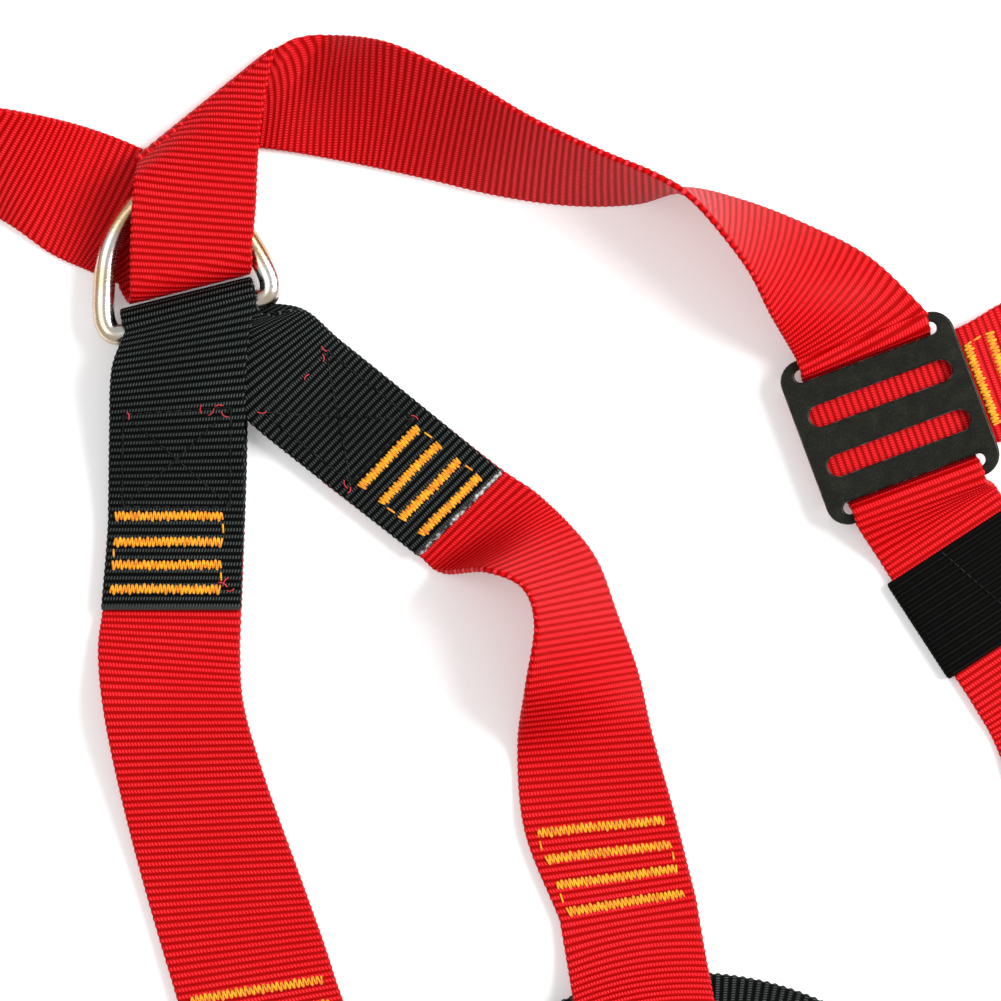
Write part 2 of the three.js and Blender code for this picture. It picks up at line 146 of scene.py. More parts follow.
# ---- stations: pairs of edge points that a strip of webbing runs through ----
def edges(lx, ly, rx, ry, z, side=0):
    """Both edges in plan. Webbing keeps its width, so where the edges come closer in plan, one of
    them stands higher: side 1 lifts the first edge and side -1 the second."""
    plan = math.hypot(lx - rx, ly - ry)
    lift = math.sqrt(max(WIDTH**2 - plan**2, 0)) if side else 0
    return point(lx, ly, z + max(side, 0) * lift), point(rx, ry, z + max(-side, 0) * lift)


def square(x, y, heading, z):
    """Both edges square to the direction of travel, the left one first."""
    over = turned(heading)[1] * WIDTH / 2
    return point(x, y, z) + over, point(x, y, z) - over


def flipped(stations):
    return [(b, a) for a, b in stations]


ring_place = flat_frame(RING)


def turn_stations(low, high, v, radius, start, stop, slide=0.0):
    """A half turn around a bar along the ring's own u axis, from angle start to stop in its v-z plane.
    The strip slides along u on the way."""
    made = []
    for share in np.linspace(0, 1, TURN_STEPS):
        a = math.radians(start + (stop - start) * share)
        lv, z, shift = v + radius * math.cos(a), RING["z"] + radius * math.sin(a), slide * share
        made.append((ring_place(low + shift, lv, z), ring_place(high + shift, lv, z)))
    return made


# ---- webbing ----
def strip(stations):
    """surface(across, along): straight lines between two smooth edge curves, never under the ground."""
    first = np.array([s[0] for s in stations])
    second = np.array([s[1] for s in stations])

    def surface(across, along):
        mix = (across[None, :, None] + 1) / 2
        p = through(first, along)[:, None] * (1 - mix) + through(second, along)[:, None] * mix
        p[..., 2] = np.maximum(p[..., 2], FLOOR_Z)
        return p

    return surface


def unit(v):
    return v / np.maximum(np.linalg.norm(v, axis=-1, keepdims=True), 1e-12)


def lay_out(surfaces, columns=ACROSS, squared=False):
    """Joins surfaces end to end and samples them at even distances along their middle line, a few
    rows to each rib. Returns the middle grid, its normals, the distance of each row, and the weave's
    own distance at every point: the row's, or in a squared strip that plus how far the point lies
    ahead of the middle line's square, so that the ribs stay square to it where its rows slant."""
    across = np.linspace(-1, 1, columns)
    dense = np.linspace(0, 1, DENSE)
    grid = np.concatenate([f(across, dense)[(i > 0) :] for i, f in enumerate(surfaces)])
    step = np.linalg.norm(np.diff(grid[:, columns // 2], axis=0), axis=1)
    keep = np.concatenate([[True], step > 1e-9])
    grid = grid[keep]
    s = np.concatenate([[0], np.cumsum(step[step > 1e-9])])
    even = np.linspace(0, s[-1], int(s[-1] / RIB * ROWS_PER_RIB) + 1)
    i = np.clip(np.searchsorted(s, even) - 1, 0, len(s) - 2)
    w = ((even - s[i]) / (s[i + 1] - s[i]))[:, None, None]
    grid = grid[i] * (1 - w) + grid[i + 1] * w
    normal = unit(np.cross(np.gradient(grid, axis=1), np.gradient(grid, axis=0)))
    window = np.ones(EASE) / EASE
    line = grid[:, columns // 2]
    far = np.minimum(np.arange(len(line)) + EASE, len(line) - 1)
    ahead = unit(line[far] - line[np.maximum(np.arange(len(line)) - EASE, 0)])
    slant = np.sum((grid[:, -1] - grid[:, 0]) * ahead, axis=1) * squared
    slant = np.convolve(np.pad(slant, EASE // 2, mode="edge"), window, mode="valid")[: len(line)]
    weave = even[:, None] + slant[:, None] * across[None] / 2
    return {"grid": grid, "normal": normal, "s": even, "weave": weave}


def made_mesh(name, verts, faces, look, uv=None, seal=None):
    """A mesh object at the origin, from places in millimetres and a list of faces."""
    mesh = bpy.data.meshes.new(name)
    mesh.from_pydata(to_frame(verts), [], faces)
    mesh.update()
    if uv is not None:
        corner = np.empty(len(mesh.loops), np.int32)
        mesh.loops.foreach_get("vertex_index", corner)
        layer = mesh.uv_layers.new(name="weave")
        layer.data.foreach_set("uv", uv[corner].astype(np.float32).ravel())
    if seal is not None:
        mark(mesh, "seal", seal)
    return linked(name, mesh, look)


def mark(mesh, attribute, values):
    """Writes one number for each point, which a material reads by its name."""
    mesh.attributes.new(attribute, "FLOAT", "POINT").data.foreach_set("value", values.astype(np.float32))


def linked(name, mesh, look):
    """An object at the origin that holds a smooth-shaded mesh in one material."""
    mesh.polygons.foreach_set("use_smooth", np.full(len(mesh.polygons), True))
    mesh.materials.clear()
    mesh.materials.append(look)
    obj = bpy.data.objects.new(name, mesh)
    bpy.context.scene.collection.objects.link(obj)
    return obj


def tube_faces(rows, around, closed=False):
    """Quads between neighbouring rows of a grid that closes on itself around, with the ends filled
    unless the rows close too."""
    i = np.arange(rows if closed else rows - 1)[:, None]
    k = np.arange(around)[None]
    a, b = i * around, ((i + 1) % rows) * around
    right = (k + 1) % around
    quads = np.stack([a + k, a + right, b + right, b + k], -1).reshape(-1, 4).tolist()
    if not closed:
        quads.append(list(range(around))[::-1])
        quads.append(list(range((rows - 1) * around, rows * around)))
    return quads


def webbing(name, band, look, thick=THICK, seal=(False, False)):
    """A ribbed strip: the middle grid is offset up and down by half the thickness plus a round ridge
    for each rib, and the selvedges are half circles. Seal marks the ends that are cut with heat."""
    grid, normal, s, weave = band["grid"], band["normal"], band["s"], band["weave"]
    half = thick / 2
    columns = grid.shape[1]
    ridge = np.sin(np.pi * weave / RIB) ** 2
    middle = grid[:, columns // 2][:, None]
    reach = np.linalg.norm(grid[:, :1] - middle, axis=-1, keepdims=True)
    flat = middle + (grid - middle) * (1 - half / np.maximum(reach, half * 2))
    fade = 1 - EDGE_FADE * np.abs(np.linspace(-1, 1, columns)) ** 8
    up = normal * (half + RIB_HEIGHT * (ridge - RIB_MIDDLE) * fade[None])[..., None]

    def selvedge(k, inner):
        out = unit(flat[:, k] - flat[:, inner])[:, None]
        ring = out * np.cos(SELVEDGE)[:, None] + normal[:, k][:, None] * np.sin(SELVEDGE)[:, None]
        return flat[:, k][:, None] + ring * (half * (0.9 + 0.3 * ridge[:, k]))[:, None, None]

    rows = np.concatenate(
        [flat + up, selvedge(-1, -2), (flat - up)[:, ::-1], selvedge(0, 1)[:, ::-1]], axis=1
    )
    u = np.linspace(-1, 1, columns) * (WIDTH / 2 - half)
    edge = WIDTH / 2 - half + half * np.cos(SELVEDGE)
    u = np.concatenate([u, edge, u[::-1], -edge])
    around = rows.shape[1]
    rim = np.ones(len(SELVEDGE))
    v = [weave, weave[:, -1:] * rim, weave[:, ::-1], weave[:, :1] * rim]
    uv = np.stack(np.broadcast_arrays(u[None], np.concatenate(v, axis=1)), -1).reshape(-1, 2)
    ends = np.maximum(seal[0] * (1 - smooth(s, *MELT_FADE)), seal[1] * (1 - smooth(s[-1] - s, *MELT_FADE)))
    faces = [f[::-1] for f in tube_faces(len(s), around)]
    return made_mesh(name, rows.reshape(-1, 3), faces, look, uv, np.repeat(ends, around))


# ---- thread ----
def on_band(band, s, u, side):
    """Points and normals on a band's face at distance s along it and u across it. Side 1 is its first
    face and side -1 the other."""
    grid, normal = band["grid"], band["normal"]
    row = np.clip(np.asarray(s, float) / band["s"][-1], 0, 1) * (len(grid) - 1)
    col = (np.clip(np.asarray(u, float) / (WIDTH / 2), -1, 1) + 1) / 2 * (grid.shape[1] - 1)
    i = np.clip(row.astype(int), 0, len(grid) - 2)
    j = np.clip(col.astype(int), 0, grid.shape[1] - 2)
    a, b = (row - i)[..., None], (col - j)[..., None]

    def mixed(g):
        low = g[i, j] * (1 - b) + g[i, j + 1] * b
        high = g[i + 1, j] * (1 - b) + g[i + 1, j + 1] * b
        return low * (1 - a) + high * a

    n = unit(mixed(normal)) * side
    return mixed(grid) + n * FACE, n


def thread(name, places, normals, look, radius, starts, sides=6):
    """Round threads along lines of points, pressed a little flat against the face. Starts gives the
    index at which each line begins, and the end of the last."""
    verts, faces = [], []
    a = np.arange(sides) * 2 * np.pi / sides
    for low, high in zip(starts[:-1], starts[1:]):
        line, up = places[low:high], normals[low:high]
        over = unit(np.cross(unit(np.gradient(line, axis=0)), up))
        ring = over[:, None] * np.cos(a)[None, :, None] + up[:, None] * np.sin(a)[None, :, None] * 0.8
        verts.append((line[:, None] + ring * radius).reshape(-1, 3))
        faces += [[v + low * sides for v in f[::-1]] for f in tube_faces(len(line), sides)]
    return made_mesh(name, np.concatenate(verts), faces, look)


TACK = {"pitch": 1.25, "height": 2.6, "radius": 0.34, "samples": 6, "stand": 0.25, "join": 2.2}
STITCH = {"radius": 0.3, "pitch": 3.1, "points": 7, "sides": 6, "rise": 0.42, "sink": 0.16}
FIBRE_RADIUS = 0.17
BEAD = {"half": 21.3, "points": 120, "radius": 0.7, "sides": 8}


def bar_tack(name, band, rows, half, look, side=1, centre=0.0):
    """Rows of dense zigzag across the band, each a triangle wave with rounded corners and a slow drift,
    and between the rows, at alternate ends, two short running stitches."""
    joins, pieces = [], []
    for k, row in enumerate(rows):
        count = int(2 * half / TACK["pitch"] * 2)
        corner = np.arange(count + 1)
        u = np.linspace(-half, half, count + 1) * (1 if k % 2 == 0 else -1)
        drift = 0.1 * np.sin(corner * 0.13 + 2.1 * k) + 0.1 * np.sin(corner * 2.399)
        swing = TACK["height"] / 2 * np.where(corner % 2, 1, -1) * (1 + 0.2 * np.sin(corner * 1.7))
        line = np.stack([row + swing + drift, u + centre, 0 * u], -1)
        fine = through(line, np.linspace(0, 1, count * TACK["samples"] + 1))
        beat = np.cos(np.arange(len(fine)) / TACK["samples"] * 2 * np.pi)
        places, normals = on_band(band, fine[:, 0], fine[:, 1], side)
        pieces.append((places + normals * (TACK["stand"] - 0.12 * beat)[:, None], normals))
        if k + 1 < len(rows):
            gap = (rows[k + 1] - row) * 0.28
            end = u[-1] + centre
            joins.append(((row + gap, end), (rows[k + 1] - gap, end + 0.3)))
    line = np.concatenate([p for p, n in pieces])
    normals = np.concatenate([n for p, n in pieces])
    starts = np.cumsum([0] + [len(p) for p, n in pieces])
    tack = thread(name, line, normals, look, TACK["radius"], starts)
    return [tack, stitches(name + "_joins", band, joins, look, side, TACK["join"])]


def stitches(name, band, ends, look, side=1, pitch=STITCH["pitch"]):
    """Running stitches along straight lines in a band's s and u, as one piece: each is a short bow of
    round thread whose ends go into the face."""
    points, sides = STITCH["points"], STITCH["sides"]
    t = []
    for (s0, u0), (s1, u1) in ends:
        count = max(int(math.hypot(s1 - s0, u1 - u0) / pitch), 1)
        share = (np.arange(count)[:, None] + np.linspace(0.04, 0.86, points)) / count
        t.append(np.stack([s0 + (s1 - s0) * share, u0 + (u1 - u0) * share], -1))
    t = np.concatenate(t)
    p, n = on_band(band, t[..., 0], t[..., 1], side)
    bow = np.sin(np.linspace(0, np.pi, points)) * STITCH["rise"] - STITCH["sink"]
    p = p + n * bow[:, None]
    over = unit(np.cross(unit(np.gradient(p, axis=1)), n))
    a = np.arange(sides) * 2 * np.pi / sides
    ring = over[:, :, None] * np.cos(a)[:, None] + n[:, :, None] * np.sin(a)[:, None]
    verts = p[:, :, None] + ring * STITCH["radius"]
    one = [f[::-1] for f in tube_faces(points, sides)]
    faces = [[v + k * points * sides for v in f] for k in range(len(p)) for f in one]
    return made_mesh(name, verts.reshape(-1, 3), faces, look)


def cross_box(near, far, half):
    """The lines of an X in a box, in a band's s and u."""
    a, b, c, d = (near, -half), (near, half), (far, half), (far, -half)
    return [(a, b), (b, c), (c, d), (d, a), (a, c), (b, d)]


# ---- materials ----
class Nodes:
    """A material's node tree, with short calls for the nodes that every finish here uses."""

    def __init__(self, name):
        self.material = bpy.data.materials.new(name)
        self.material.use_nodes = True
        self.tree = self.material.node_tree
        self.shader = self.tree.nodes["Principled BSDF"]

    def node(self, kind, **values):
        made = self.tree.nodes.new(kind)
        for key, value in values.items():
            setattr(made, key, value)
        return made

    def join(self, out, into):
        self.tree.links.new(out, into)

    def put(self, socket, value):
        """Joins another node's output to a socket, or sets the socket to a value."""
        if isinstance(value, bpy.types.NodeSocket):
            self.join(value, socket)
        else:
            socket.default_value = value

    def feed(self, socket, out):
        self.join(out, self.shader.inputs[socket])

    def fixed(self, values):
        """Numbers and colours that are the same all over, on the shader's own sockets."""
        for socket, value in values.items():
            self.shader.inputs[socket].default_value = value

    def math(self, operation, a, b=None):
        made = self.node("ShaderNodeMath", operation=operation)
        for socket, value in zip(made.inputs, (a,) if b is None else (a, b)):
            self.put(socket, value)
        return made.outputs[0]

    def times(self, a, b):
        return self.math("MULTIPLY", a, b)

    def plus(self, a, b):
        return self.math("ADD", a, b)

    def marked(self, attribute):
        return self.node("ShaderNodeAttribute", attribute_name=attribute).outputs["Fac"]

    def mix(self, factor, a, b):
        made = self.node("ShaderNodeMix", data_type="RGBA")
        for socket, value in ((made.inputs[0], factor), (made.inputs[6], a), (made.inputs[7], b)):
            self.put(socket, value)
        return made.outputs[2]

    def noise(self, scale, detail=3.0, rough=0.5, stretch=None):
        where = self.node("ShaderNodeTexCoord").outputs["Object"]
        if stretch:
            mapping = self.node("ShaderNodeMapping")
            mapping.inputs["Scale"].default_value = stretch
            self.join(where, mapping.inputs["Vector"])
            where = mapping.outputs[0]
        made = self.node("ShaderNodeTexNoise")
        made.inputs["Scale"].default_value = scale
        made.inputs["Detail"].default_value = detail
        made.inputs["Roughness"].default_value = rough
        self.join(where, made.inputs["Vector"])
        return made.outputs["Fac"]

    def range(self, value, low, high, to_low=0.0, to_high=1.0):
        made = self.node("ShaderNodeMapRange", interpolation_type="SMOOTHSTEP")
        for key, amount in (("From Min", low), ("From Max", high), ("To Min", to_low), ("To Max", to_high)):
            made.inputs[key].default_value = amount
        self.join(value, made.inputs["Value"])
        return made.outputs[0]

    def bump(self, height, strength, distance):
        made = self.node("ShaderNodeBump")
        made.inputs["Strength"].default_value = strength
        made.inputs["Distance"].default_value = distance
        self.join(height, made.inputs["Height"])
        self.feed("Normal", made.outputs[0])


def webbing_look(name, painted_valley_shade, body, painted_yarn_highlight, roughness, gloss, rib=RIB):
    """Woven webbing: painted shade in the valleys between ribs, and on each rib a row of slanted yarns
    with a painted highlight. The weave follows the piece's own map, which is in millimetres."""
    look = Nodes(name)
    uv = look.node("ShaderNodeUVMap", uv_map="weave")
    split = look.node("ShaderNodeSeparateXYZ")
    look.join(uv.outputs[0], split.inputs[0])
    u, v = split.outputs[0], split.outputs[1]
    turns = look.math("DIVIDE", v, rib)
    phase = look.math("FRACT", turns)
    row = look.math("FLOOR", turns)
    arch = look.math("SINE", look.times(phase, math.pi))
    ridge = look.times(arch, arch)
    slant = look.times(phase, 0.55)
    shift = look.times(row, 0.5)
    across = look.plus(look.math("DIVIDE", u, 0.95), look.plus(slant, shift))
    wave = look.math("SINE", look.times(across, 2 * math.pi))
    dash = look.range(wave, -0.5, 0.8)
    crest = look.range(ridge, 0.35, 0.85)
    lit = look.times(dash, crest)
    patches = look.noise(14.0, 4.0)
    fibres = look.noise(900.0, 2.0, 0.7)
    # Painted shade: the colour darkens from the body to the valley colour between the ribs.
    base = look.mix(look.range(ridge, 0.05, 0.75), painted_valley_shade, body)
    strength = look.times(lit, look.range(patches, 0.3, 0.7, 0.45, 0.85))
    # Painted highlight: a pale colour on the slanted yarns along each rib's crest.
    toned = look.mix(strength, base, painted_yarn_highlight)
    shade = look.times(look.range(fibres, 0.35, 0.75), 0.18)
    worn = look.mix(shade, toned, painted_valley_shade)
    seal = look.marked("seal")
    melted = tuple(0.35 * c + 0.06 for c in body[:3]) + (1.0,)
    colour = look.mix(look.times(seal, 0.6), worn, melted)
    look.feed("Base Color", colour)
    rough = look.math("SUBTRACT", roughness, look.times(lit, 0.14))
    rough = look.math("SUBTRACT", rough, look.times(seal, 0.2))
    look.feed("Roughness", rough)
    look.fixed({"Specular IOR Level": gloss})
    height = look.plus(lit, look.times(fibres, 0.35))
    look.bump(height, 0.75, 0.00022)
    return look.material


def thread_look(name, dark, light, gloss=0.25, sheen=0.2):
    """Glossy sewing thread: fine twist and patches of light and dark along it."""
    look = Nodes(name)
    twist = look.noise(2600.0, 2.0, 0.6)
    patches = look.noise(420.0, 3.0)
    amount = look.plus(look.times(twist, 0.5), look.times(patches, 0.5))
    colour = look.mix(look.range(amount, 0.36, 0.62), dark, light)
    look.feed("Base Color", colour)
    look.fixed({"Roughness": 0.42, "Specular IOR Level": gloss, "Sheen Weight": sheen})
    look.bump(twist, 0.6, 0.00015)
    return look.material


def plate_look():
    """Satin black coated plate: fine speckle, soft orange peel, and a pale painted highlight along its
    rounded edges, broken into patches.
    """
    look = Nodes("black_plate_finish")
    speckle = look.noise(1500.0, 2.0, 0.7)
    peel = look.noise(260.0, 3.0)
    smear = look.noise(24.0, 4.0)
    painted_edge_highlight = look.marked("painted_edge_highlight")
    broken = look.times(painted_edge_highlight, look.range(look.noise(340.0, 4.0, 0.7), 0.42, 0.68))
    mottle = look.plus(look.times(speckle, 0.6), look.times(peel, 0.4))
    base = look.mix(look.range(mottle, 0.42, 0.66), (0.006, 0.0062, 0.0044, 1), (0.016, 0.016, 0.011, 1))
    # Painted highlight: pale grey along the plate's rounded edges, broken into patches by noise.
    base = look.mix(look.times(broken, 0.7), base, (0.2, 0.22, 0.22, 1))
    look.feed("Base Color", base)
    look.feed("Roughness", look.range(smear, 0.3, 0.7, 0.34, 0.48))
    look.fixed({
        "Metallic": 0.1,
        "Specular IOR Level": 0.12,
        "Coat Weight": 0.03,
        "Coat Roughness": 0.3,
    })
    height = look.plus(look.times(speckle, 0.4), look.times(peel, 0.6))
    look.bump(height, 0.35, 0.0002)
    return look.material


def sealed_look():
    """Melted nylon: glossy and black, with pale grey patches of painted sheen."""
    look = Nodes("melted_nylon")
    patches = look.noise(330.0, 3.0, 0.6)
    # Painted sheen: pale grey patches mixed into the black melt.
    colour = look.mix(look.range(patches, 0.4, 0.62), (0.012, 0.014, 0.014, 1), (0.42, 0.43, 0.42, 1))
    look.feed("Base Color", colour)
    look.fixed({"Roughness": 0.22})
    look.bump(patches, 0.8, 0.0004)
    return look.material


def steel_look():
    """Plated steel: warm and faintly rainbowed, with fine rub marks."""
    look = Nodes("plated_steel_finish")
    tint = look.noise(38.0, 2.0)
    rub = look.noise(240.0, 4.0, 0.6, stretch=(1, 7, 3))
    warm = look.mix(look.range(tint, 0.42, 0.6), (0.6, 0.44, 0.24, 1), (0.7, 0.69, 0.68, 1))
    colour = look.mix(look.range(rub, 0.45, 0.75, 0, 0.35), warm, (0.42, 0.38, 0.33, 1))
    look.feed("Base Color", colour)
    look.fixed({"Metallic": 1.0})
    look.feed("Roughness", look.range(rub, 0.3, 0.8, 0.16, 0.36))
    look.bump(rub, 0.12, 0.0002)
    return look.material


# Each webbing's colours: painted shade in the valleys, the body, and a painted highlight on the yarns.
RED_WEBBING = webbing_look(
    "red_webbing_finish", (0.3, 0.0, 0.0, 1), (0.62, 0.0, 0.001, 1), (0.95, 0.05, 0.07, 1), 0.5, 0.06
)
BLACK_WEBBING = webbing_look(
    "black_webbing_finish",
    (0.0008, 0.001, 0.001, 1),
    (0.0028, 0.0036, 0.0034, 1),
    (0.095, 0.112, 0.106, 1),
    0.55,
    0.04,
)
ELASTIC = webbing_look(
    "elastic_finish",
    (0.001, 0.0012, 0.001, 1),
    (0.003, 0.0032, 0.003, 1),
    (0.01, 0.009, 0.007, 1),
    0.66,
    0.03,
    KEEPER["pitch"],
)
ORANGE_THREAD = thread_look("orange_thread", (0.62, 0.15, 0.0, 1), (0.96, 0.44, 0.003, 1))
BLACK_THREAD = thread_look("black_thread", (0.001, 0.0012, 0.001, 1), (0.016, 0.018, 0.016, 1), 0.08, 0.0)
RED_THREAD = thread_look("red_thread", (0.4, 0.005, 0.01, 1), (0.8, 0.03, 0.05, 1))
SEALED = sealed_look()
BLACK_PLATE = plate_look()
STEEL = steel_look()


# ---- the parts that each piece stands in for, and the body it hangs on ----
def red(piece, *nodes):
    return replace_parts(piece, *nodes)


def black(piece, *nodes):
    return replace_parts(piece, *nodes)


def sewn(pieces, body):
    for piece in pieces:
        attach(piece, body)


def hard(piece, body, node):
    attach(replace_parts(piece, node), body)


def spot(place, v):
    """A point on a plate's middle line at a distance above its middle, in metres in the frame."""
    return tuple(to_frame(place(0, v, 0)))


# ---- shoulder webbing ----
RED_TURN = {"v": 16.9, "radius": 7.1, "slide": 5.6}
FOLD_TOP = 8.5  # height of the upper layer at the fold's lower end
IN_PLATE = 21.8  # half the width of the strap where it goes through a plate's slots
JOIN = (75, 33)  # distances above a plate's middle between which a shoulder strap bends
LOWER_JOIN = (-31, -46)  # the same below it


def fold_stations():
    """The diagonal fold at the top: half turns about the diagonal line, from the upper layer down to
    the lower one. The layers stand further apart at the fold's lower end."""
    right, left = point(27, 76), point(-16, 39.5)
    along = unit(left - right)
    out = point(along[1], -along[0])
    low = FLOOR_Z + 0.4
    made = []
    for angle in np.radians(np.linspace(90, -90, 7)):
        pair = []
        for end, high, reach in ((right, STACKED, 0.5), (left, FOLD_TOP, 2.0)):
            radius, middle = (high - low) / 2, (high + low) / 2
            shift = out * reach * math.cos(angle)
            pair.append(end + shift + point(0, 0, middle + radius * math.sin(angle)))
        made.append(tuple(pair))
    return made


def woven_in_plate(place, end):
    """From an adjuster's edge over its outer bar, down through the slot and behind its middle. End 1
    is the plate's upper edge and end -1 its lower one."""
    line = [(26.2, 12), (23.6, 11.9), (22.3, 10), (22.2, 7.4), (21, 4.9), (18.4, 3.5), (12, BEHIND)]
    line = [(29.3, 10.6), *line, (6, BEHIND), (0, BEHIND)]
    return [(place(-IN_PLATE, end * v, z), place(IN_PLATE, end * v, z)) for v, z in line]


def shoulder_webbing():
    """Two strips through stations: left adjuster, under the ring and up over its turn to the fold;
    then the fold, a twist where the edges cross in plan, and the right adjuster."""
    top = RING["z"] + RED_TURN["radius"]
    run = [
        *turn_stations(-21, 18.8, RED_TURN["v"], RED_TURN["radius"], -90, -270, RED_TURN["slide"]),
        (point(-17.7, 15, top + 2.4), point(21.9, 26, top + 2.4)),
        (point(-17.2, 26, top + 3), point(22.6, 42, top + 2)),
        (point(-16.6, 34, 16), point(24.2, 59, 11)),
        (point(-16, 39.5, FOLD_TOP), point(27, 76, STACKED)),
    ]
    place = flat_frame(PLATES["left"])
    left_run = [
        edges(-32, 6, 2, 34, FLOOR_Z),
        edges(-45, 12, -27, 50, FLOOR_Z),
        edges(-63, 24, -61, 56, FLOOR_Z + 1, -1),
        edges(-88, 30, -94, 56, FLOOR_Z + 1, -1),
        edges(-115, 27, -129, 50, FLOOR_Z + 1, -1),
        edges(-138, 14, -160, 38, FLOOR_Z + 1, -1),
        edges(-152, -4, -187, 19, FLOOR_Z + 4, -1),
        *flipped(woven_in_plate(place, 1)),
    ]
    band = lay_out([strip(flipped(run[::-1]) + flipped(left_run))], FINE_ACROSS, True)
    piece = webbing("red_shoulder_left", band, RED_WEBBING)
    red(piece, "shoulder_webbing_left", "shoulder_webbing_ring_turn")
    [spot(place, v) for v in JOIN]
    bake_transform(piece)

    place = flat_frame(PLATES["right"])
    right_run = [
        edges(33.5, 80.4, 5, 45, FLOOR_Z + 0.6),
        edges(45, 81.4, 22.4, 45.4, FLOOR_Z + 0.6),
        edges(64, 77, 50, 41, FLOOR_Z + 1, 1),
        edges(88, 65, 74, 36, FLOOR_Z + 1, 1),
        edges(109, 52, 98, 30.5, FLOOR_Z + 1, 1),
        edges(130, 41.5, 121, 27.5, FLOOR_Z + 1, 1),
        edges(147, 34, 142, 28, FLOOR_Z + 1, 1),
        edges(158, 27, 158, 32, FLOOR_Z + 1, 1),
        edges(168, 16, 177, 28, FLOOR_Z + 1, 1),
        edges(177, 4, 198, 20, FLOOR_Z + 1, 1),
        edges(184, -9, 217, 10, FLOOR_Z + 4, 1),
        *woven_in_plate(place, 1),
    ]
    band = lay_out([strip(fold_stations() + right_run)], FINE_ACROSS, True)
    piece = red(webbing("red_shoulder_right", band, RED_WEBBING), "shoulder_webbing_right")
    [spot(place, v) for v in JOIN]
    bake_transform(piece)


# ---- wear loops ----
def wear_loops():
    """Two strips that turn half a circle around the ring's lower bar, the right one inside the left,
    and lie in two layers with a red strap between them. They carry all the sewing near the ring."""
    outer = RING["z"] - FLOOR_Z
    inner = outer - LAYER
    left = lay_out([strip([
        edges(-28, -102, 16.5, -102, FLOOR_Z),
        edges(-25, -58, 18, -60, FLOOR_Z),
        edges(-24, -32, 19, -26, FLOOR_Z),
        *turn_stations(-21.5, 21.5, 0, outer, -90, 90),
        edges(-24, -26, 19, -20, 14.6),
        edges(-25, -46, 18, -44, 10.6),
        edges(-25.6, -66, 17.6, -66, STACKED + 1),
        edges(-26, -78, 17.4, -78, STACKED + 0.1),
        edges(-28, -102, 16.5, -102, STACKED),
    ])])
    right = lay_out([strip([
        edges(73, -85, 100, -58, FLOOR_Z),
        edges(36, -56, 63, -28, FLOOR_Z),
        edges(20, -43, 48, -16, BEHIND),
        edges(4, -28, 36, -6, BEHIND),
        *turn_stations(-17, 20.8, 0, inner, -90, 90),
        (ring_place(-16, -5, 12.9), ring_place(23.5, -5, 12.9)),
        edges(4, -28, 37, -7, 11),
        edges(20, -43, 48, -16, 7.4),
        edges(36, -56, 63, -28, STACKED),
        edges(73, -85, 100, -58, STACKED),
    ])])
    boxes = {"left": (33, 64, 17.5), "right": (32, 68, 16)}
    rows = {"left": (30, 21.7, 14.3, 6.6), "right": (29, 20.7, 12.4, 4.4)}
    halves = {"left": (17.4, -2.2), "right": (15, 0)}
    fibres = {
        "left": [(64, 8), (63, 11), (64.5, 13.5), (62, 15.5), (63.5, -16), (9, 17), (6.5, 18.5), (8, 16)],
        "right": [(69, 16), (67, 13), (66, 4), (68, -16), (32, 17), (33, -17.5), (31, -18.5)],
    }
    for side, band in (("left", left), ("right", right)):
        piece = webbing(f"black_wear_loop_{side}", band, BLACK_WEBBING, seal=(True, True))
        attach(black(piece, f"wear_loop_{side}"), "webbing")
        end = band["s"][-1]
        near, far, half = boxes[side]
        box = cross_box(end - near, end - far, half)
        seam = stitches(f"cross_stitch_{side}", band, box, BLACK_THREAD, -1)
        sewn([seam], "webbing")
        lines = [end - d for d in rows[side]]
        width, centre = halves[side]
        tack = bar_tack(f"wear_loop_tack_{side}", band, lines, width, ORANGE_THREAD, -1, centre)
        sewn(tack, "webbing")
        spots = [(end - d, u) for d, u in fibres[side]]
        sewn([loose_fibres(f"red_fibres_{side}", band, spots, -1, RED_THREAD)], "webbing")
        if side == "right":
            sewn([melted_edge("melted_edge", band, end - 0.3, -1, SEALED)], "webbing")


def loose_fibres(name, band, spots, side, look):
    """Short ends of thread caught in a seam: each is an arc that leaves the face and comes back."""
    lines, normals, starts = [], [], [0]
    for k, (s, u) in enumerate(spots):
        t = np.linspace(-1, 1, 9)
        turn = 2.4 * k
        length = 1.4 + 0.8 * math.sin(3.1 * k)
        bow = 0.5 * (1 - t * t)
        along = s + length * t * math.cos(turn) + bow * math.sin(turn)
        over = u + length * t * math.sin(turn) - bow * math.cos(turn)
        p, n = on_band(band, along, over, side)
        lines.append(p + n * (TACK["stand"] + 0.5 * bow)[:, None])
        normals.append(n)
        starts.append(starts[-1] + len(t))
    return thread(name, np.concatenate(lines), np.concatenate(normals), look, FIBRE_RADIUS, starts)


def melted_edge(name, band, s, side, look):
    """A bead where the webbing was cut with heat: a thread across the band whose height and place
    wander by two sine waves."""
    u = np.linspace(-BEAD["half"], BEAD["half"], BEAD["points"])
    wander = 0.22 * np.sin(u * 1.9) + 0.15 * np.sin(u * 4.7 + 1)
    p, n = on_band(band, s + wander, u, side)
    p = p + n * (0.25 * np.sin(u * 3.1) - 0.3)[:, None]
    return thread(name, p, n, look, BEAD["radius"], [0, len(p)], BEAD["sides"])


# ---- straps that end in a sewn eye around a leg loop ----
def on_cone(along, above):
    """Radius and height of a point at a distance up the leg loop's sloping face and above it."""
    a = math.radians(LEG["slope"])
    r = LEG["outer"] - along * math.cos(a) + above * math.sin(a)
    return r, LEG["base"] + along * math.sin(a) + above * math.cos(a)


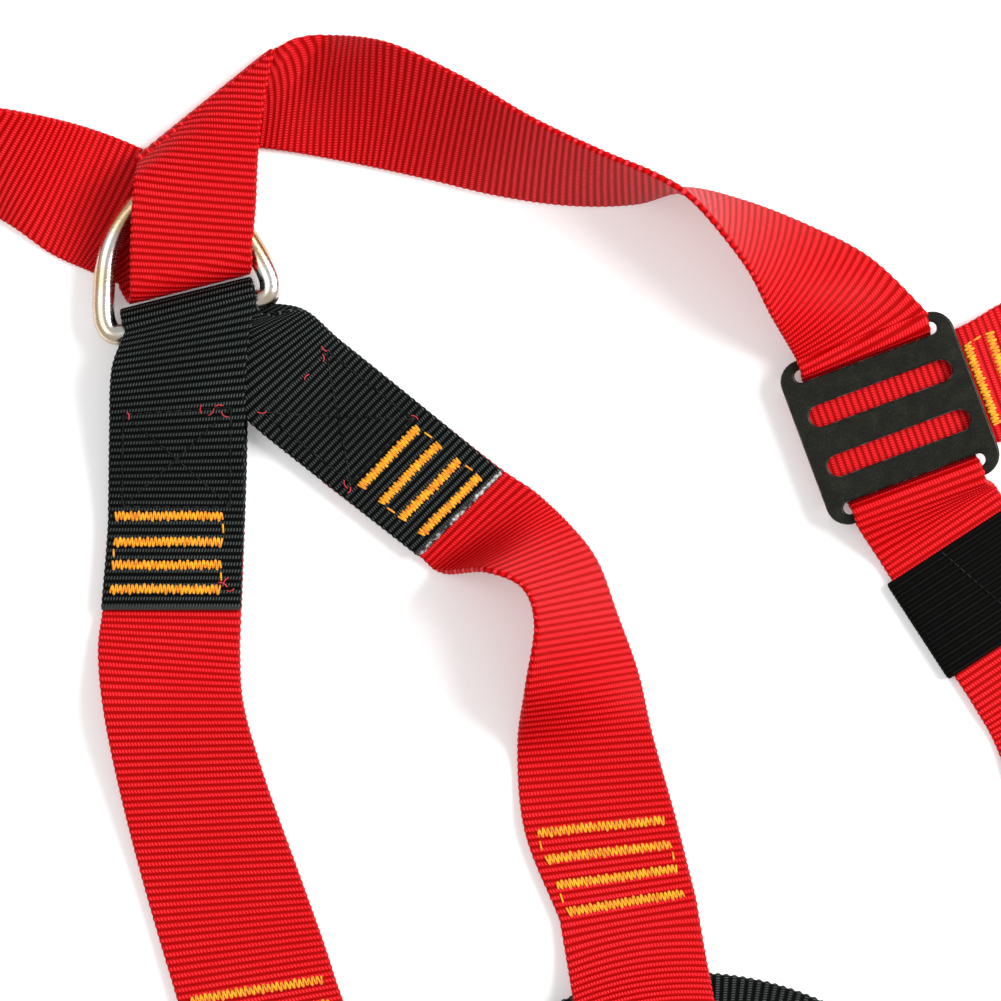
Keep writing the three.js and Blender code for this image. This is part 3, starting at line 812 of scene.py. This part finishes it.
def eye_surface(leg, angle):
    """Over the leg loop, around its inner edge and back under it. The webbing takes on the loop's
    curve as it reaches it: a point u to the side drops back by u squared over twice the radius."""
    off = LEG["thick"] / 2 + 0.9 + THICK / 2
    far = WIDTH + off
    path = [
        (EYE_START, BEHIND), (113, BEHIND + 1), on_cone(1, off),
        on_cone(WIDTH / 2, off), on_cone(WIDTH - 1, off), on_cone(far - 1, off * 0.5),
        on_cone(far - 1, -off * 0.5), on_cone(WIDTH - 1, -off), on_cone(WIDTH / 2, -off),
        on_cone(7, -off), on_cone(1, -off * 0.9), (100.5, 1.9), (107, FLOOR_Z), (EYE_START, FLOOR_Z),
    ]
    line = np.array([(r, 0, z) for r, z in path])
    out, side = turned(angle)
    centre = point(leg["x"], leg["y"])

    def surface(across, along):
        p = through(line, along)
        r, z = p[:, 0][:, None], p[:, 2][:, None]
        u = across[None] * WIDTH / 2
        bend = smooth(EYE_START - r, 0, 12)
        reach = r - bend * u**2 / (2 * r)
        level = np.broadcast_to(z, reach.shape)[..., None] * UP
        return centre + reach[..., None] * out + (u + 0 * r)[..., None] * side + level

    return surface


def at_eye(leg, angle):
    """The station where a strap meets its sewn eye, heading in to the leg loop's centre."""
    x, y, z = point(leg["x"], leg["y"], BEHIND) + turned(angle)[0] * EYE_START
    return square(x, y, angle + 180, z)


def with_eye(run, leg, angle):
    """The band of a strap that ends in a sewn eye, and the distance along it where the eye begins."""
    body = strip([*run, at_eye(leg, angle)])
    return lay_out([body, eye_surface(leg, angle)]), lay_out([body])["s"][-1]


def lower_straps():
    """From between a wear loop's layers down to the sewn eye on a leg loop."""
    low = BEHIND
    runs = {
        "left": [
            edges(-25.8, -76, 17.4, -76, low),
            edges(-27.5, -100, 16.6, -100, low),
            edges(-29, -115, 16.3, -118, low + 2),
            edges(-27, -134, 18, -134, low + 6),
            edges(-22, -160, 25, -158, low + 3),
            edges(-14, -192, 36, -189, low),
            edges(-4, -226, 46, -218, low),
            edges(7, -262, 55, -252, low),
        ],
        "right": [
            edges(42, -61, 69, -33, low),
            edges(71, -83, 98, -56, low),
            edges(80, -90, 111, -65, low + 1),
            edges(94, -89, 122, -76, low + 2, 1),
            edges(106, -94, 130, -87, low + 1, 1),
            edges(110, -106, 136, -103, low, 1),
            edges(107, -126, 143, -122, low, 1),
            edges(104.6, -146, 148, -143, low + 1),
            edges(107, -173, 155, -168, low),
        ],
    }
    rows = {"left": (72, 63.5, 55, 46.5), "right": (28, 19.5, 11, 2.5)}
    for side, run in runs.items():
        band, eye = with_eye(flipped(run), LEGS[side], LEGS[side]["lower"])
        piece = webbing(f"red_lower_strap_{side}", band, RED_WEBBING, seal=(True, True))
        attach(red(piece, f"lower_strap_{side}", f"lower_eye_{side}"), "webbing")
        lines = [eye - d for d in rows[side]]
        sewn(bar_tack(f"lower_tack_{side}", band, lines, 18.5, ORANGE_THREAD), "webbing")


def in_sleeve(at):
    """The straight stretch that a keeper slides on, which comes down to it from the plate."""
    middle = point(at["x"], at["y"], KEEPER["wall"] + KEEPER["inside"] / 2)
    along = turned(at["turn"])[0]
    steps = ((-26, 1), (-19, 0.1), (-5, 0), (10, 0), (31, 0))
    return [square(*(middle + along * d)[:2], at["turn"], middle[2] + lift) for d, lift in steps]


def lower_runs():
    """From an adjuster's lower slot through its keeper to the sewn eye on a leg loop."""
    bends = {
        "right": [
            square(278, -138, -64, FLOOR_Z + 0.6),
            square(289, -170, -76, FLOOR_Z + 5),
            square(292, -202, -95, FLOOR_Z + 3),
            square(286, -229, -115, FLOOR_Z + 1),
        ],
        "left": [
            square(-214.5, -180, -92, FLOOR_Z + 4),
            square(-213.5, -226, -85, FLOOR_Z + 6),
            square(-204, -268, -70, FLOOR_Z + 2),
            square(-186, -302, -54, FLOOR_Z + 1),
            square(-164, -323, -38, BEHIND),
        ],
    }
    for side, bend in bends.items():
        place = flat_frame(PLATES[side])
        start = flipped(woven_in_plate(place, -1))[::-1]
        run = [*start, *in_sleeve(KEEPERS[side]), *bend]
        band, eye = with_eye(run, LEGS[side], LEGS[side]["shoulder"])
        piece = webbing(f"red_lower_run_{side}", band, RED_WEBBING, seal=(False, True))
        red(piece, f"shoulder_webbing_{side}_lower", f"shoulder_eye_{side}", f"adjuster_webbing_{side}")
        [spot(place, v) for v in LOWER_JOIN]
        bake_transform(piece)
        rows = [eye - d for d in (28, 19.5, 11, 2.5)]
        sewn(bar_tack(f"run_tack_{side}", band, rows, 18, ORANGE_THREAD), "webbing")


# ---- adjusters ----
def rounded(width, height, corner, steps=10, at=0.0):
    """Points of a rectangle whose corners are quarter circles, anticlockwise, centred on (0, at)."""
    made = []
    for k, (sx, sy) in enumerate(((1, -1), (1, 1), (-1, 1), (-1, -1))):
        for a in np.radians(np.linspace(-90, 0, steps) + 90 * k):
            x = sx * (width / 2 - corner) + corner * math.cos(a)
            made.append((x, at + sy * (height / 2 - corner) + corner * math.sin(a)))
    return made


def plate_piece(name, outlines, thick, matrix, look, bevel=0.7):
    """A flat plate with holes and rounded edges: the first outline is its rim and the rest are holes.
    Its mesh is moved to its place by matrix, three axis columns and an origin in millimetres."""
    curve = bpy.data.curves.new(name, "CURVE")
    curve.dimensions = "2D"
    curve.fill_mode = "BOTH"
    curve.extrude = thick / 2 - bevel
    curve.bevel_depth = bevel
    curve.bevel_resolution = 3
    curve.offset = -bevel
    for outline in outlines:
        line = curve.splines.new("POLY")
        line.points.add(len(outline) - 1)
        line.points.foreach_set("co", np.array([(x, y, 0, 1) for x, y in outline], float).ravel())
        line.use_cyclic_u = True
    holder = bpy.data.objects.new(name + "_outline", curve)
    mesh = bpy.data.meshes.new_from_object(holder)
    bpy.data.objects.remove(holder)
    bpy.data.curves.remove(curve)
    flat = np.empty(len(mesh.vertices) * 3)
    mesh.vertices.foreach_get("co", flat)
    flat = flat.reshape(-1, 3)
    axes, origin = matrix
    mesh.vertices.foreach_set("co", to_frame(flat @ np.array(axes) + origin).ravel())
    # Marks the rounded rim, where the plate's painted edge highlight goes.
    mark(mesh, "painted_edge_highlight", smooth(1 - np.abs(flat[:, 2]) / (thick / 2), 0.02, 0.35))
    piece = linked(name, mesh, look)
    mesh.set_sharp_from_angle(angle=math.radians(32))
    return piece


def side_strap_half(u):
    """Half the side strap's width: gathered behind the plate, and wider past its edge."""
    return 18.6 + 3.4 * smooth(u, 26, 40)


def side_strap_stations(place, outwards):
    """Folded around the shoulder strap behind the plate, out to the connector's bar, and back."""
    top, fold = STACKED, -23.6
    path = [(58, FLOOR_Z), (30, FLOOR_Z), (0, FLOOR_Z), (fold, FLOOR_Z)]
    for a in np.radians([-135, -180, -225]):
        path.append((fold + LAYER * math.cos(a), BEHIND + LAYER * math.sin(a)))
    path += [(fold, top), (0, top), (30, top), (48, top - 1), (70, top), (CHEST["at"] - 8, 8.2)]
    for a in np.radians([90, 45, 0, -45, -90]):
        path.append((CHEST["at"] + STRAP_EYE * math.cos(a), CHEST["z"] + STRAP_EYE * math.sin(a)))
    path.append((72, FLOOR_Z))
    made = []
    for u, z in path:
        half = float(side_strap_half(u))
        pair = (place(outwards * u, -half, z), place(outwards * u, half, z))
        made.append(pair if outwards > 0 else pair[::-1])
    return made


def adjusters():
    """Each slotted plate, and the side strap that is folded around the webbing behind it."""
    for side, at in PLATES.items():
        body, place, outwards = f"adjuster_{side}", flat_frame(at), OUTWARDS[side]
        outlines = [rounded(PLATE["width"], PLATE["height"], PLATE["corner"])]
        for sign in (-1, 1):
            for width, v in ((SLOT["open"], SLOT["open_at"]), (SLOT["outer"], SLOT["outer_at"])):
                outlines.append(rounded(2 * SLOT["half"], width, width / 2 - 0.01, 12, sign * v))
        middle = place(0, 0, PLATE["base"] + PLATE["thick"] / 2)
        matrix = ([*turned(at["turn"]), UP], middle)
        plate = plate_piece(f"black_plate_{side}", outlines, PLATE["thick"], matrix, BLACK_PLATE)
        hard(plate, body, f"adjuster_plate_{side}")

        band = lay_out([strip(side_strap_stations(place, outwards))])
        strap = webbing(f"red_side_strap_{side}", band, RED_WEBBING, seal=(True, True))
        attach(red(strap, f"side_strap_{side}"), body)
        line = band["grid"][:, ACROSS // 2]
        buried = np.where(line[:, 2] > BEHIND + 0.2, 0, 100)
        spots = [place(outwards * u, 0, STACKED - 0.2) for u in (31.5, 39, 46.5, 54)]
        nearest = [int(np.argmin(np.linalg.norm(line - at, axis=1) + buried)) for at in spots]
        face = 1 if band["normal"][nearest[0], ACROSS // 2, 2] > 0 else -1
        rows = [float(band["s"][row]) for row in nearest]
        sewn(bar_tack(f"side_tack_{side}", band, rows, 15.5, ORANGE_THREAD, face), body)


# ---- attachment ring ----
def attachment_ring():
    """A round bar carried along a closed D: each stretch between points is a cubic whose knots are
    spaced by the square root of the distance."""
    half = [(8, 0), (21.8, 0), (25.5, 1.2), (27, 4.8), (25, 15), (19.4, 28.5), (10, 38)]
    outline = np.array([*half, (0, 41), *[(-u, v) for u, v in half[::-1]]], float)
    count, around, rows = len(outline), 28, 300
    fine = np.linspace(0, count, 6000, endpoint=False)
    i = fine.astype(int)
    w = (fine - i)[:, None]
    p0, p1, p2, p3 = (outline[(i + k) % count] for k in (-1, 0, 1, 2))

    def knot(a, b):
        return np.sqrt(np.linalg.norm(b - a, axis=1))[:, None]

    d0, d1, d2 = knot(p0, p1), knot(p1, p2), knot(p2, p3)
    m1 = ((p1 - p0) / d0 - (p2 - p0) / (d0 + d1) + (p2 - p1) / d1) * d1
    m2 = ((p2 - p1) / d1 - (p3 - p1) / (d1 + d2) + (p3 - p2) / d2) * d1
    line = cubic(p1, p2, m1, m2, w)
    step = np.linalg.norm(np.roll(line, -1, axis=0) - line, axis=1)
    s = np.concatenate([[0], np.cumsum(step)])
    even = np.linspace(0, s[-1], rows, endpoint=False)
    closed = np.vstack([line, line[:1]])
    line = np.stack([np.interp(even, s, closed[:, k]) for k in (0, 1)], -1)
    ahead = unit(np.roll(line, -1, axis=0) - np.roll(line, 1, axis=0))
    out = np.stack([ahead[:, 1], -ahead[:, 0]], -1)
    a = np.arange(around) * 2 * np.pi / around
    flat = line[:, None] + out[:, None] * (RING_STOCK * np.cos(a))[:, None]
    rise = RING_STOCK * np.sin(a)[:, None] * UP
    verts = ring_place(flat[..., :1], flat[..., 1:], RING["z"]) + rise
    faces = [f[::-1] for f in tube_faces(rows, around, closed=True)]
    ring = made_mesh("steel_ring", verts.reshape(-1, 3), faces, STEEL)
    hard(ring, "ring", "attachment_ring")


# ---- keepers ----
def keepers():
    """Elastic sleeves: a flat ring profile carried along the strap, ridged along its own length, with
    a sewn overlap on its upper face."""
    wall, inside, length = KEEPER["wall"], KEEPER["inside"], KEEPER["length"]
    height = inside + 2 * wall
    rows = 161
    d = np.linspace(-length / 2, length / 2, rows)
    ridge = KEEPER["ridge"] * (np.abs(np.sin(np.pi * d / KEEPER["pitch"])) - 0.5)
    rim = 0.35 * smooth(np.abs(d), length / 2 - 1.2, length / 2)
    outer = np.array(rounded(KEEPER["width"] - 0.2, height - 0.2, 1.9, 8))
    inner = np.array(rounded(KEEPER["width"] - 2 * wall, inside, 1.2, 8))
    beside = np.abs(outer[:, 0]) > KEEPER["width"] / 2 - 1.85
    swell = unit(np.stack([np.sign(outer[:, 0]) * beside, outer[:, 1]], -1))
    skin = outer + swell * (ridge - rim)[:, None, None]
    profile = np.concatenate([skin, np.broadcast_to(inner, skin.shape)])
    reach = np.concatenate([d, d[::-1]])
    count = len(outer)
    faces = tube_faces(2 * rows, count, closed=True)
    girth = np.cumsum(np.linalg.norm(np.diff(outer, axis=0, append=outer[:1]), axis=1))
    uv = np.stack(np.broadcast_arrays(girth, reach[:, None]), -1).reshape(-1, 2)
    for side, at in KEEPERS.items():
        along, over = turned(at["turn"])
        middle = point(at["x"], at["y"], height / 2) + reach[:, None, None] * along
        verts = middle + profile[..., :1] * over + profile[..., 1:] * UP
        piece = made_mesh(f"black_keeper_{side}", verts.reshape(-1, 3), faces, ELASTIC, uv)
        recalculated(piece)
        body = f"keeper_{side}_body"
        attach(black(piece, f"keeper_{side}"), body)
        ends = [point(at["x"], at["y"]) + along * reach for reach in (-length / 2, length / 2)]
        top = lay_out([strip([square(*end[:2], at["turn"], height - FACE) for end in ends])])
        overlap = [((0.5, 4), (length - 0.5, -6))]
        seam = stitches(f"keeper_seam_{side}", top, overlap, BLACK_THREAD, pitch=2.6)
        sewn([seam], body)


def recalculated(piece):
    """Turns every face of a closed piece outwards."""
    mesh = bmesh.new()
    mesh.from_mesh(piece.data)
    bmesh.ops.recalc_face_normals(mesh, faces=mesh.faces)
    mesh.to_mesh(piece.data)
    mesh.free()


# ---- leg loops ----
TAIL = {"start": -24, "half": 19.0, "over": (3.4, 8.6)}  # the tail's end over a leg buckle's bar


def around_cone(centre, up, above, angle):
    """Points on the sloping face, from arrays of distance up it, height above it and angle."""
    r, z = on_cone(up, above)
    return centre + np.stack(np.broadcast_arrays(r * np.cos(angle), r * np.sin(angle), z), -1)


def leg_loops():
    """A band around each sloping face, with its tail's end lying over the buckle's middle bar."""
    middle = WIDTH / 2
    radius = on_cone(middle, 0)[0]
    low = LEG["thick"] / 2 + LAYER - FACE
    high = BUCKLE["lift"] + BUCKLE["thick"] + LAYER - FACE
    for side, leg in LEGS.items():
        centre = point(leg["x"], leg["y"])
        start = math.radians(leg["buckle"])

        def band_surface(across, along):
            angle = (start + along * 2 * np.pi)[:, None]
            return around_cone(centre, middle - across * middle, 0, angle)

        def tail_surface(across, along):
            t = (TAIL["start"] + (BUCKLE["tail"] - TAIL["start"]) * along)[:, None]
            above = high + (low - high) * smooth(np.abs(t), *TAIL["over"])
            return around_cone(centre, middle - across * TAIL["half"], above, start + t / radius)

        band = lay_out([band_surface])
        piece = webbing(f"black_leg_loop_{side}", band, BLACK_WEBBING, thick=LEG["thick"])
        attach(black(piece, f"leg_loop_{side}"), "webbing")
        band = lay_out([tail_surface])
        tail = webbing(f"black_leg_tail_{side}", band, BLACK_WEBBING, seal=(True, True))
        body = f"leg_buckle_{side}_body"
        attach(black(tail, f"leg_tail_{side}"), body)

        outlines = [rounded(BUCKLE["across"], BUCKLE["along"], 4)]
        for sign in (-1, 1):
            at = sign * (BUCKLE["bar"] + BUCKLE["slot"]) / 2
            outlines.append(rounded(BUCKLE["across"] - 10, BUCKLE["slot"], 1.8, 8, at))
        slope = math.radians(LEG["slope"])
        out, tangent = turned(leg["buckle"])
        down = out * math.cos(slope) - UP * math.sin(slope)
        r, z = on_cone(middle, BUCKLE["lift"] + BUCKLE["thick"] / 2)
        matrix = ([down, tangent, np.cross(down, tangent)], centre + out * r + UP * z)
        buckle = plate_piece(f"black_leg_buckle_{side}", outlines, BUCKLE["thick"], matrix, BLACK_PLATE)
        hard(buckle, body, f"leg_buckle_{side}")


# ---- chest connectors ----
def chest_connectors():
    """A steel frame and a steel tongue, each with the slot that its side strap's eye goes through."""
    bar, length = CHEST["bar"], CHEST["along"]
    inner = length - 2 * bar
    droop = math.radians(CHEST["droop"])
    kinds = {"right": ("chest_frame", 1.0), "left": ("chest_tongue", 0.4)}
    for side, (body, share) in kinds.items():
        at, outwards = PLATES[side], OUTWARDS[side]
        far, over = (axis * outwards for axis in turned(at["turn"]))
        ahead = far * math.cos(droop) - UP * math.sin(droop)
        hinge = flat_frame(at)(outwards * CHEST["at"], 0, CHEST["z"])
        slot = rounded(share * inner, CHEST["across"] - 12, 1.6, 8)
        hole = [(x - (1 - share) * inner / 2, y) for x, y in slot]
        outlines = [rounded(length, CHEST["across"], 4), hole]
        matrix = ([ahead, over, np.cross(ahead, over)], hinge + ahead * (length - bar) / 2)
        piece = plate_piece(f"steel_{body}", outlines, CHEST["thick"], matrix, STEEL, CHEST["bevel"])
        hard(piece, body, f"{body}_{side}")


# ---- floor, light and camera ----
VIEW_CENTRE = (99.2, -67.2)  # middle of the view, on the harness's ring side
VIEW_WIDTH = 320.0
CAMERA_HEIGHT = 1500.0


def studio():
    """A pale floor that glows a little, even light from all round, two soft lamps and the camera."""
    floor = bpy.data.meshes.new("floor")
    floor.from_pydata([(-6, -6, 0), (6, -6, 0), (6, 6, 0), (-6, 6, 0)], [], [(0, 1, 2, 3)])
    ground = bpy.data.objects.new("floor", floor)
    bpy.context.scene.collection.objects.link(ground)
    look = Nodes("pale_floor")
    look.fixed({
        "Base Color": (0.97, 0.97, 0.97, 1),
        "Roughness": 0.9,
        "Specular IOR Level": 0.1,
        "Emission Color": (1, 1, 1, 1),
        "Emission Strength": 0.14,
    })
    floor.materials.append(look.material)

    world = bpy.data.worlds.new("soft_studio")
    world.use_nodes = True
    world.node_tree.nodes["Background"].inputs["Color"].default_value = (1, 1, 1, 1)
    world.node_tree.nodes["Background"].inputs["Strength"].default_value = 0.6
    bpy.context.scene.world = world
    bpy.context.scene.view_settings.view_transform = "Standard"

    for name, place, size, energy in (
        ("key", (1.35, 0.55, 1.2), 1.0, 38),
        ("fill", (-0.9, 0.2, 1.5), 1.4, 8),
    ):
        lamp = bpy.data.lights.new(name, "AREA")
        lamp.shape = "DISK"
        lamp.size = size
        lamp.energy = energy
        light = bpy.data.objects.new(name, lamp)
        light.location = place
        aim = Vector((0.08, 0.1, 0)) - light.location
        light.rotation_euler = aim.to_track_quat("-Z", "Y").to_euler()
        bpy.context.scene.collection.objects.link(light)

    view = bpy.data.cameras.new("camera")
    view.lens = view.sensor_width * CAMERA_HEIGHT / VIEW_WIDTH
    camera = bpy.data.objects.new("camera", view)
    x, y, z = to_frame(point(*VIEW_CENTRE, CAMERA_HEIGHT))
    camera.location = (x, y, z)
    bpy.context.scene.collection.objects.link(camera)
    bpy.context.scene.camera = camera


studio()
shoulder_webbing()
wear_loops()
lower_straps()
lower_runs()
adjusters()
attachment_ring()
keepers()
leg_loops()
chest_connectors()
